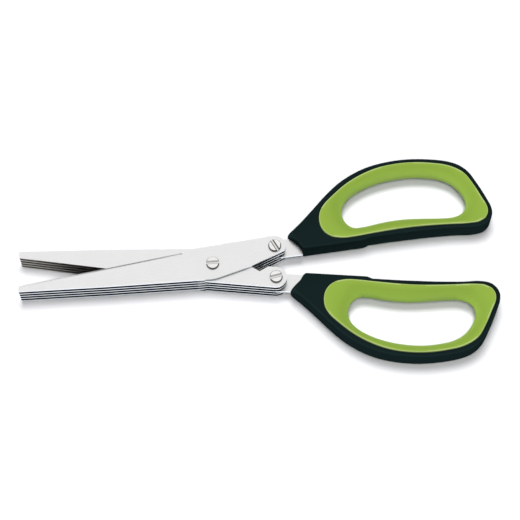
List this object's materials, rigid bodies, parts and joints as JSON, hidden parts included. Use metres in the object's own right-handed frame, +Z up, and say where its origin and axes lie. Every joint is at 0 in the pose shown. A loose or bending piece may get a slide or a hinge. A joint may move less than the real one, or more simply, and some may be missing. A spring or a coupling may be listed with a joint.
{
  "type": "herb scissors",
  "caption": "Kitchen scissors with two halves of stacked, interleaved straight blades on one pivot and soft-lined loop handles, for snipping herbs.",
  "frame": {"origin": "on the pivot axis, in the plane of the pivot nut's flat underside that the scissors rest on", "axes": "+X from the pivot to the handles along the line between the open halves, +Z up through the blade stack"},
  "size_m": [0.1997, 0.089, 0.0151],
  "materials": {
    "blade_steel": "ground flat steel, bright satin faces and ground edges",
    "fastener_steel": "turned bright steel",
    "shell_plastic": "moulded hard black plastic, satin with a fine grain",
    "grip_rubber": "soft-touch moulded rubber, matt, yellow green"
  },
  "bodies": {
    "half_a": {"blade_a_1": "blade_steel", "blade_a_2": "blade_steel", "blade_a_3": "blade_steel", "blade_a_4": "blade_steel", "blade_a_5": "blade_steel", "spacer_a_1": "fastener_steel", "spacer_a_2": "fastener_steel", "spacer_a_3": "fastener_steel", "spacer_a_4": "fastener_steel", "rear_screw_a": "fastener_steel", "rear_barrel_nut_a": "fastener_steel", "handle_shell_a": "shell_plastic", "grip_insert_a": "grip_rubber", "pivot_screw": "fastener_steel", "pivot_barrel_nut": "fastener_steel"},
    "half_b": {"blade_b_1": "blade_steel", "blade_b_2": "blade_steel", "blade_b_3": "blade_steel", "blade_b_4": "blade_steel", "blade_b_5": "blade_steel", "spacer_b_1": "fastener_steel", "spacer_b_2": "fastener_steel", "spacer_b_3": "fastener_steel", "spacer_b_4": "fastener_steel", "rear_screw_b": "fastener_steel", "rear_barrel_nut_b": "fastener_steel", "handle_shell_b": "shell_plastic", "grip_insert_b": "grip_rubber"}
  },
  "joints": [
    {"name": "blades_pivot", "type": "hinge", "parent": "half_a", "child": "half_b", "pos_m": [0, 0, 0.0075], "axis": [0, 0, -1], "range_deg": [-10.5, 35]}
  ]
}
